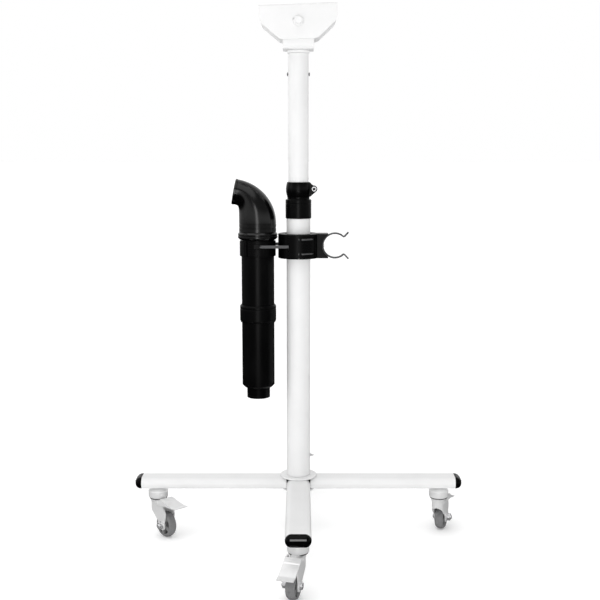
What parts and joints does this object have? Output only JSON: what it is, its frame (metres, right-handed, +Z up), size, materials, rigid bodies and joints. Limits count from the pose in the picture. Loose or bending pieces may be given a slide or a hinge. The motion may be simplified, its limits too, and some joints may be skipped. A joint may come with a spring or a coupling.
{
  "type": "pet dryer stand",
  "caption": "Wheeled floor stand of a pet dryer: crossed legs on braked casters, telescopic mast, tilting saddle, hose clip and an elbowed air nozzle in a snap ring.",
  "frame": {"origin": "on the floor, on the mast's axis", "axes": "+Z up along the mast, +X towards the hose clip and -X towards the nozzle, -Y the front"},
  "size_m": [0.6366, 0.7056, 1.0124],
  "materials": {
    "white_powder_coat": "satin powder coat",
    "black_plastic": "fine moulded texture",
    "gloss_black": "glossy",
    "satin_black": "satin",
    "zinc_steel": "bright zinc plate",
    "spring_steel": "satin spring steel",
    "nylon": "natural nylon",
    "grey_tread": "grey moulded tread",
    "rubber_liner": "matt"
  },
  "bodies": {
    "base": {"hub_top_plate": "white_powder_coat", "hub_lower_plate": "satin_black", "mast_foot_plug": "zinc_steel", "hub_bolt": "zinc_steel", "leg_right": "white_powder_coat", "leg_rear": "white_powder_coat", "leg_left": "white_powder_coat", "leg_front": "white_powder_coat", "leg_cap_right": "black_plastic", "leg_cap_rear": "black_plastic", "leg_cap_left": "black_plastic", "leg_cap_front": "black_plastic", "caster_stem_right": "zinc_steel", "caster_stem_rear": "zinc_steel", "caster_stem_left": "zinc_steel", "caster_stem_front": "zinc_steel", "lower_mast_tube": "white_powder_coat", "lock_collar": "satin_black", "pinch_screw": "zinc_steel"},
    "mast_guide": {"mast_bush": "nylon"},
    "upper_mast": {"upper_mast_tube": "white_powder_coat", "slide_foot": "nylon", "head_plug": "white_powder_coat", "head_screw_left": "zinc_steel", "head_screw_right": "zinc_steel", "head_yoke": "white_powder_coat"},
    "saddle": {"saddle_channel": "white_powder_coat", "pivot_bolt": "white_powder_coat", "pivot_nut": "white_powder_coat"},
    "holder_guide": {"clamp_liner": "rubber_liner"},
    "holder": {"clamp_half_left": "black_plastic", "clamp_half_right": "black_plastic", "tie_ring_lower": "zinc_steel", "tie_ring_upper": "zinc_steel", "hose_clip": "spring_steel", "clip_rivet": "zinc_steel", "snap_ring": "black_plastic", "ring_link_front": "spring_steel", "ring_link_rear": "spring_steel"},
    "nozzle": {"main_tube": "satin_black", "lower_tube": "satin_black"},
    "elbow": {"nozzle_elbow": "gloss_black", "elbow_nut": "gloss_black"},
    "coupling": {"coupling_ring": "satin_black"},
    "fork_right": {"caster_fork_right": "zinc_steel", "axle_right": "zinc_steel"},
    "wheel_right": {"wheel_right": "grey_tread"},
    "pedal_right": {"brake_pedal_right": "zinc_steel"},
    "fork_rear": {"caster_fork_rear": "zinc_steel", "axle_rear": "zinc_steel"},
    "wheel_rear": {"wheel_rear": "grey_tread"},
    "pedal_rear": {"brake_pedal_rear": "zinc_steel"},
    "fork_left": {"caster_fork_left": "zinc_steel", "axle_left": "zinc_steel"},
    "wheel_left": {"wheel_left": "grey_tread"},
    "pedal_left": {"brake_pedal_left": "zinc_steel"},
    "fork_front": {"caster_fork_front": "zinc_steel", "axle_front": "zinc_steel"},
    "wheel_front": {"wheel_front": "grey_tread"},
    "pedal_front": {"brake_pedal_front": "zinc_steel"}
  },
  "joints": [
    {"name": "mast_turn", "type": "hinge", "parent": "base", "child": "mast_guide", "pos_m": [0, 0, 0.6], "axis": [0, 0, 1], "continuous": true},
    {"name": "mast_height", "type": "slide", "parent": "mast_guide", "child": "upper_mast", "axis": [0, 0, 1], "range_m": [-0.19, 0.18]},
    {"name": "saddle_tilt", "type": "hinge", "parent": "upper_mast", "child": "saddle", "pos_m": [0, 0, 0.98], "axis": [0, 1, 0], "range_deg": [-28, 32]},
    {"name": "holder_height", "type": "slide", "parent": "base", "child": "holder_guide", "axis": [0, 0, 1], "range_m": [-0.15, 0.025]},
    {"name": "holder_turn", "type": "hinge", "parent": "holder_guide", "child": "holder", "pos_m": [0, 0, 0.57], "axis": [0, 0, 1], "continuous": true},
    {"name": "nozzle_lift", "type": "slide", "parent": "holder", "child": "nozzle", "axis": [0, 0, 1], "range_m": [0, 0.09]},
    {"name": "elbow_turn", "type": "hinge", "parent": "nozzle", "child": "elbow", "pos_m": [-0.0772, 0, 0.59], "axis": [0, 0, 1], "range_deg": [-120, 120]},
    {"name": "coupling_turn", "type": "hinge", "parent": "nozzle", "child": "coupling", "pos_m": [-0.0772, 0, 0.44], "axis": [0, 0, 1], "range_deg": [0, 90]},
    {"name": "caster_swivel_right", "type": "hinge", "parent": "base", "child": "fork_right", "pos_m": [0.276, 0, 0.08], "axis": [0, 0, 1], "continuous": true},
    {"name": "wheel_spin_right", "type": "hinge", "parent": "fork_right", "child": "wheel_right", "pos_m": [0.28574, 0.02411, 0.025], "axis": [-0.9272, 0.3746, 0], "continuous": true},
    {"name": "brake_press_right", "type": "hinge", "parent": "fork_right", "child": "pedal_right", "pos_m": [0.28199, 0.01483, 0.0681], "axis": [-0.9272, 0.3746, 0], "range_deg": [-17, 13]},
    {"name": "caster_swivel_rear", "type": "hinge", "parent": "base", "child": "fork_rear", "pos_m": [0, 0.276, 0.08], "axis": [0, 0, 1], "continuous": true},
    {"name": "wheel_spin_rear", "type": "hinge", "parent": "fork_rear", "child": "wheel_rear", "pos_m": [0.0076, 0.30086, 0.025], "axis": [-0.9563, 0.2924, 0], "continuous": true},
    {"name": "brake_press_rear", "type": "hinge", "parent": "fork_rear", "child": "pedal_rear", "pos_m": [0.00468, 0.2913, 0.0681], "axis": [-0.9563, 0.2924, 0], "range_deg": [-17, 13]},
    {"name": "caster_swivel_left", "type": "hinge", "parent": "base", "child": "fork_left", "pos_m": [-0.276, 0, 0.08], "axis": [0, 0, 1], "continuous": true},
    {"name": "wheel_spin_left", "type": "hinge", "parent": "fork_left", "child": "wheel_left", "pos_m": [-0.2586, -0.01932, 0.025], "axis": [0.7431, 0.6691, 0], "continuous": true},
    {"name": "brake_press_left", "type": "hinge", "parent": "fork_left", "child": "pedal_left", "pos_m": [-0.26529, -0.01189, 0.0681], "axis": [0.7431, 0.6691, 0], "range_deg": [0, 30]},
    {"name": "caster_swivel_front", "type": "hinge", "parent": "base", "child": "fork_front", "pos_m": [0, -0.276, 0.08], "axis": [0, 0, 1], "continuous": true},
    {"name": "wheel_spin_front", "type": "hinge", "parent": "fork_front", "child": "wheel_front", "pos_m": [-0.0076, -0.30086, 0.025], "axis": [0.9563, -0.2924, 0], "continuous": true},
    {"name": "brake_press_front", "type": "hinge", "parent": "fork_front", "child": "pedal_front", "pos_m": [-0.00468, -0.2913, 0.0681], "axis": [0.9563, -0.2924, 0], "range_deg": [-17, 13]}
  ]
}
